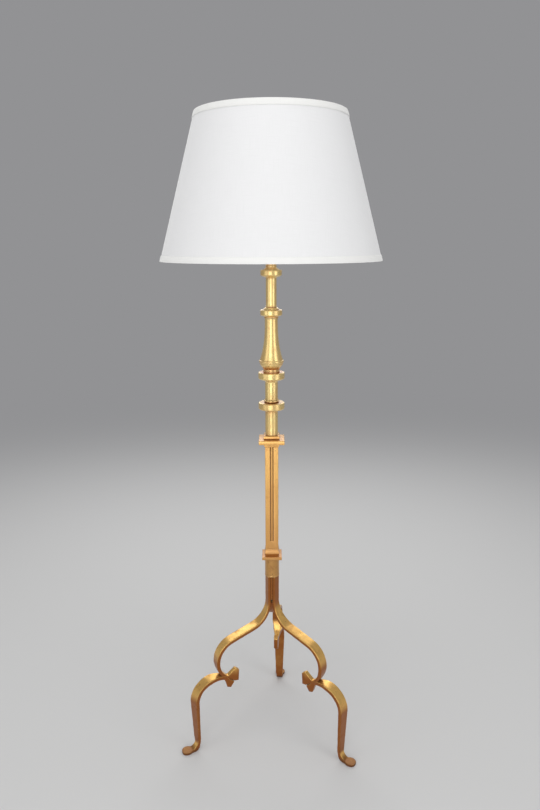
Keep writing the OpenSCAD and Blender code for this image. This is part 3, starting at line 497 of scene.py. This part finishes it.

# ---- Square column -------------------------------------------------------
# Collar, square plates and a hollow square shaft with a reed in a sunk channel on
# each face, all gilded cast metal, stacked on the pipe and clamped by it.
# Its ledges and recesses are painted in shade, and it is painted darker towards its foot
gilt_column = gilded(
    "gilt_column", 0.14, 0.5, Leaf=colour(250, 194, 106), Ground=colour(198, 124, 48),
    Patina=colour(124, 76, 28), Patch_Scale=75.0, Rubbing=0.38, Dirt=0.65, Ledge_Grime=0.35,
    Low_Grime=0.45, Grime_Top=0.80, Grime_Foot=0.50)
# The collar's copy is darker and browner: painted shade, carrying the column's darkening on down
# to the hub
gilt_collar = gilded(
    "gilt_collar", 0.14, 0.4, Leaf=colour(206, 154, 82), Ground=colour(150, 90, 38),
    Patina=colour(84, 50, 24), Patch_Scale=75.0, Rubbing=0.45, Dirt=0.7)
dress(gilt_collar, "hub_collar")
dress(gilt_column, "reed_1", "reed_2", "reed_3", "reed_4")

ARRIS, ARRIS_ANGLE, CAST_CREASE = 0.0006, 25, 20
for name in ("foot_plate", "foot_moulding", "square_shaft", "cap_neck", "cap_plate", "cap_step"):
    cast = bmesh.new()
    cast.from_mesh(nodes[name].data)
    bmesh.ops.remove_doubles(cast, verts=cast.verts, dist=1e-6)
    bmesh.ops.dissolve_limit(cast, angle_limit=math.radians(1), verts=cast.verts,
                             edges=cast.edges)
    corners = [edge for edge in cast.edges
               if edge.is_manifold and edge.calc_face_angle() > math.radians(ARRIS_ANGLE)]
    bmesh.ops.bevel(cast, geom=corners, offset=ARRIS, segments=2, profile=0.5,
                    affect="EDGES", material=-1, clamp_overlap=True)
    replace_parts(finished(name + "_cast", cast, "stand", gilt_column,
                         CAST_CREASE), name)

# ---- Turned column -------------------------------------------------------
# Stems, disks, a bell-shaped vase and knops turned from the same gilded metal,
# each resting on the one below. Their leaf is painted paler, as a painted reflection of
# the bright front light, and is less rubbed.
gilt_turned = gilded(
    "gilt_turned", 0.14, 0.8, Leaf=colour(255, 225, 143), Ground=colour(206, 112, 34),
    Patina=colour(132, 76, 30), Patch_Scale=60.0, Rubbing=0.3, Dirt=0.85, Ledge_Grime=0.4)
dress(gilt_turned, "lower_stem", "lower_disk", "middle_stem", "upper_disk", "vase",
      "collar_knop", "top_stem", "top_knop", "neck")

# ---- Socket --------------------------------------------------------------
# A plated check ring and riser carry the saddle and a two-piece socket with a
# fibre liner, a moulded switch and its fluted turn knob.
dress(brass, "check_ring", "riser", "harp_saddle", "socket_cap", "socket_shell",
      "screw_shell", "centre_contact")
card = moulded("pressed_fibre", colour(150, 132, 100), colour(120, 102, 74), 0.7, 500.0)
dress(card, "socket_liner")
dress(black_plastic, "switch_body", "switch_knob")

# ---- Bulb ----------------------------------------------------------------
# A frosted white bulb on a plated screw base, which turns into the socket.
dress(brass, "bulb_base")
frosted, _, shader, _, _ = clouded(
    "frosted_glass", colour(236, 235, 230), colour(244, 243, 239), 40.0)
for label, value in (("Roughness", 0.35), ("Subsurface Weight", 0.2),
                     ("Subsurface Scale", 0.01)):
    shader[label].default_value = value
dress(frosted, "bulb_glass")

# ---- Harp and ferrules ---------------------------------------------------
# A plated wire bow from the saddle's posts over the bulb to the threaded stud;
# two short sleeves slide down over the joints and lock them.
dress(brass, "harp", "ferrule_left", "ferrule_right")

# ---- Shade frame ---------------------------------------------------------
# Plated wire: a washer with three arms welded to the top ring, and a loose ring
# in the bottom hem.
plated_wire = plated("plated_wire", Metal=colour(206, 186, 136), Dull=colour(150, 128, 84),
                     Low_Roughness=0.3, High_Roughness=0.45)
dress(plated_wire, "shade_spider", "shade_bottom_ring")

# ---- Shade cover and lining ----------------------------------------------
# Off-white linen laminated to a stiff white backing, rolled into a cone and
# glued at one lapped seam, which is turned to the back.
SHADE_LOW, SHADE_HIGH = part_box("shade_bottom_trim")[0].z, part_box("shade_top_trim")[1].z
FOOT_R, HEAD_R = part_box("shade_bottom_trim")[1].x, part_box("shade_top_trim")[1].x
SLOPE = (FOOT_R - HEAD_R) / (SHADE_HIGH - SHADE_LOW)
CONE_SINE = math.sin(math.atan(SLOPE))
TRIM_T, GLUE, CLOTH_T, BACKING_T = 0.0012, 0.0002, 0.0009, 0.0006
LAYER_GAP = 0.0001
THREAD = 0.0008
SEAM_RISE, SEAM_ROOT, SEAM_TURN = 0.0005, 0.0002, 2.6
TURN_STEPS = 144


def shade_r(inset, z):
    """Radius of a layer of the shade that lies inset from the outer face, at height z"""
    return FOOT_R - (z - SHADE_LOW) * SLOPE - inset


def spun(name, outline, body, material, start=0.0, turn=360.0, steps=TURN_STEPS):
    """Piece spun round the column's axis from a closed outline of (radius, height)"""
    mesh = bmesh.new()
    from_x, from_y = math.cos(math.radians(start)), math.sin(math.radians(start))
    corners = [mesh.verts.new((r * from_x, r * from_y, z)) for r, z in outline]
    edges = [mesh.edges.new((corners[i - 1], corners[i])) for i in range(len(corners))]
    whole = turn == 360.0
    sides = corners + edges if whole else corners + edges + [mesh.faces.new(corners)]
    bmesh.ops.spin(mesh, geom=sides, cent=(0, 0, 0), axis=(0, 0, 1),
                   angle=math.radians(turn), steps=steps, use_merge=whole)
    bmesh.ops.remove_doubles(mesh, verts=mesh.verts, dist=1e-6)
    bmesh.ops.recalc_face_normals(mesh, faces=mesh.faces)
    return finished(name, mesh, body, material)


def cloth_effect():
    """Plain weave laid out flat from the cone, so that its threads stay straight"""
    group, given, out = effect("cone_linen", [
        ("Cloth", "Color", colour(238, 237, 233)),
        ("Shadow", "Color", colour(222, 220, 214)),
        ("Thread", "Float", 0.0007),
        ("Cone Share", "Float", 0.27),
    ], [("Color", "Color"), ("Roughness", "Float"), ("Height", "Float")])
    x, y, z = add(group, "SeparateXYZ", {
        0: add(group, "TexCoord").outputs["Object"]}).outputs
    reach = calc(group, "SQRT", calc(group, "ADD", calc(group, "MULTIPLY", x, x),
                                     calc(group, "MULTIPLY", y, y)))
    slant = calc(group, "DIVIDE", reach, given["Cone Share"])
    angle = calc(group, "ARCTAN2", x, calc(group, "MULTIPLY", y, -1.0))
    angle = calc(group, "MULTIPLY", angle, given["Cone Share"])
    across = calc(group, "MULTIPLY", slant, calc(group, "SINE", angle))
    along = calc(group, "MULTIPLY", slant, calc(group, "COSINE", angle))
    flat = add(group, "CombineXYZ", {0: across, 1: along, 2: 0.0}).outputs[0]
    warp_place = add(group, "VectorMath", {0: flat, 1: (900.0, 22.0, 1.0)},
                     operation="MULTIPLY").outputs[0]
    weft_place = add(group, "VectorMath", {0: flat, 1: (22.0, 900.0, 1.0)},
                     operation="MULTIPLY").outputs[0]
    warp = spots(group, warp_place, 1.0, 2.0)
    weft = spots(group, weft_place, 1.0, 2.0)
    slubs = calc(group, "MAXIMUM", between(group, warp, 0.35, 0.75),
                 between(group, weft, 0.35, 0.75))
    pace = calc(group, "DIVIDE", math.pi, given["Thread"])
    over = calc(group, "SINE", calc(group, "MULTIPLY", across, pace))
    under = calc(group, "SINE", calc(group, "MULTIPLY", along, pace))
    weave = calc(group, "MULTIPLY", over, under)
    relief = calc(group, "ADD", calc(group, "MULTIPLY", weave, 0.4), slubs)
    tone = calc(group, "MULTIPLY", slubs, 0.3)
    tone = calc(group, "ADD", tone, calc(group, "MULTIPLY", weave, 0.1))
    group.links.new(mixed(group, tone, given["Cloth"], given["Shadow"]), out["Color"])
    group.links.new(between(group, slubs, 0.0, 1.0, 0.92, 0.8), out["Roughness"])
    group.links.new(relief, out["Height"])
    return group


LINEN = cloth_effect()


def linen(name, cloth, shadow):
    """Material of linen whose threads run straight on the flat cloth"""
    material, tree, shader, made = fed_material(name, LINEN, {
        "Cloth": cloth, "Shadow": shadow, "Thread": THREAD, "Cone Share": CONE_SINE})
    tree.links.new(bump(tree, made["Height"], 0.3, 0.0003), shader["Normal"])
    shader["Sheen Weight"].default_value = 0.4
    shader["Sheen Roughness"].default_value = 0.5
    return material


def cone_wall(inset, thick, low, high, rows=6):
    """Closed outline of a conical wall"""
    heights = [low + (high - low) * i / rows for i in range(rows + 1)]
    return ([(shade_r(inset, z), z) for z in heights]
            + [(shade_r(inset + thick, z), z) for z in reversed(heights)])


cover_linen = linen("cover_linen", colour(236, 236, 237), colour(223, 223, 223))
white_backing, tree, shader, place, _ = clouded(
    "white_backing", colour(239, 238, 235), colour(237, 236, 232), 60.0)
shader["Roughness"].default_value = 0.45
tree.links.new(bump(tree, spots(tree, place, 350.0), 0.1, 0.0001), shader["Normal"])

wall_low, wall_high = SHADE_LOW + TRIM_T + GLUE, SHADE_HIGH - TRIM_T - GLUE
cover = spun("shade_cover", cone_wall(TRIM_T + GLUE, CLOTH_T, wall_low, wall_high),
             "shade", cover_linen)
spun("shade_lining",
     cone_wall(TRIM_T + GLUE + CLOTH_T + LAYER_GAP, BACKING_T, wall_low, wall_high),
     "shade", white_backing)
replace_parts(cover, "shade_fabric")

# The cover's lap, between the two trims
seam_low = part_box("shade_bottom_trim")[1].z + GLUE
seam_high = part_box("shade_top_trim")[0].z - GLUE
spun("shade_seam",
     cone_wall(TRIM_T + GLUE - SEAM_RISE, SEAM_RISE + SEAM_ROOT, seam_low, seam_high),
     "shade", cover_linen, start=90 - SEAM_TURN / 2, turn=SEAM_TURN, steps=4)

# ---- Shade trims ---------------------------------------------------------
# A folded band of the same linen, glued over each edge of the shade and over
# the wire inside it.
WALL_T = CLOTH_T + LAYER_GAP + BACKING_T
WIRE_ROOM, TRIM_LIP = 0.0020, 0.007
trim_linen = linen("trim_linen", colour(240, 240, 238), colour(230, 229, 226))


def folded_band(edge, up):
    """Outline of a band folded over an edge; up is 1 on the bottom edge, -1 on the top"""
    box_low, box_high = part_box("shade_bottom_trim" if up > 0 else "shade_top_trim")
    tall = box_high.z - box_low.z
    inner = TRIM_T + GLUE + WALL_T + 2 * WIRE_ROOM + TRIM_T
    places = [(0.0003, 0.0), (0.0, 0.0008), (-0.0002, 0.3 * tall), (-0.0002, 0.7 * tall),
              (0.0, tall - 0.0006), (0.0005, tall), (TRIM_T, tall), (TRIM_T, TRIM_T),
              (inner - TRIM_T, TRIM_T), (inner - TRIM_T, TRIM_LIP), (inner, TRIM_LIP),
              (inner, 0.0008), (inner - 0.0006, 0.0)]
    return [(shade_r(inset, edge + up * rise), edge + up * rise) for inset, rise in places]


for place, edge, up in (("bottom", SHADE_LOW, 1), ("top", SHADE_HIGH, -1)):
    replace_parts(spun(f"shade_{place}_band", folded_band(edge, up), "shade",
                     trim_linen), f"shade_{place}_trim")

# ---- Finial --------------------------------------------------------------
# A small turned ball with a tip, gilded as the column, screwed onto the stud.
dress(gilt_turned, "finial")

# ---- Studio --------------------------------------------------------------
# A plain pale floor that fades into a plain surround, three soft boxes side by side in
# front, a small one above and a wide one behind, which the sweeps of the legs mirror.
BACKDROP = colour(146, 146, 148)
FLOOR_HALF, FADE_NEAR, FADE_FAR = 15, 0.8, 4.5


def seen(tree):
    """1 on the rays that carry the picture and its reflections, 0 on those that only light"""
    rays = add(tree, "LightPath").outputs
    return calc(tree, "MAXIMUM", rays["Is Camera Ray"],
                calc(tree, "MAXIMUM", rays["Is Glossy Ray"], rays["Is Transmission Ray"]))


floor_mesh = bmesh.new()
bmesh.ops.create_grid(floor_mesh, x_segments=1, y_segments=1, size=FLOOR_HALF)
floor_data = bpy.data.meshes.new("floor")
floor_mesh.to_mesh(floor_data)
floor_mesh.free()
floor = bpy.data.objects.new("floor", floor_data)
bpy.context.collection.objects.link(floor)
floor_paint, tree, shader = blank_material("floor_paint")
floor_data.materials.append(floor_paint)
shader["Base Color"].default_value = colour(208, 208, 208)
shader["Roughness"].default_value = 0.9
shader["Specular IOR Level"].default_value = 0.1
distance = add(tree, "VectorMath", {0: add(tree, "TexCoord").outputs["Object"]},
               operation="LENGTH").outputs["Value"]
far = calc(tree, "MULTIPLY", between(tree, distance, FADE_NEAR, FADE_FAR), seen(tree))
glow = add(tree, "Emission", {"Color": BACKDROP, "Strength": 1.0}).outputs[0]
floor_mix = add(tree, "MixShader", {
    0: far, 1: tree.nodes["Principled BSDF"].outputs[0], 2: glow})
tree.links.new(floor_mix.outputs[0], tree.nodes["Material Output"].inputs["Surface"])

world = bpy.data.worlds.new("studio")
bpy.context.scene.world = world
world.use_nodes = True
tree = world.node_tree
soft_light = add(tree, "Background", {"Color": (1, 1, 1, 1), "Strength": 0.47}).outputs[0]
surround = add(tree, "Background", {"Color": BACKDROP, "Strength": 1.0}).outputs[0]
world_mix = add(tree, "MixShader", {0: seen(tree), 1: soft_light, 2: surround})
tree.links.new(world_mix.outputs[0], tree.nodes["World Output"].inputs["Surface"])


def soft_box(name, place, aim, wide, tall, watts):
    """Area light that faces its aim and that the camera doesn't see"""
    lamp = bpy.data.lights.new(name, "AREA")
    lamp.shape = "RECTANGLE"
    lamp.size, lamp.size_y, lamp.energy = wide, tall, watts
    box = bpy.data.objects.new(name, lamp)
    away = Vector(place) - Vector(aim)
    facing = away.to_track_quat("Z", "Y").to_matrix().to_4x4()
    box.matrix_world = Matrix.Translation(place) @ facing
    box.visible_camera = False
    bpy.context.collection.objects.link(box)


soft_box("soft_box_front", (-0.2, -2.6, 1.3), (0, 0, 1.1), 1.5, 2.3, 24)
soft_box("soft_box_left", (-1.9, -1.6, 1.4), (0, 0, 1.1), 1.2, 2.2, 8)
soft_box("soft_box_right", (2.05, -1.4, 1.4), (0, 0, 1.1), 1.2, 2.2, 14)
soft_box("soft_box_top", (0.0, -0.6, 3.0), (0, 0, 0.6), 1.6, 1.2, 8)
soft_box("soft_box_back", (-0.3, 2.3, 2.2), (0, 0, 0.5), 3.6, 1.4, 32)
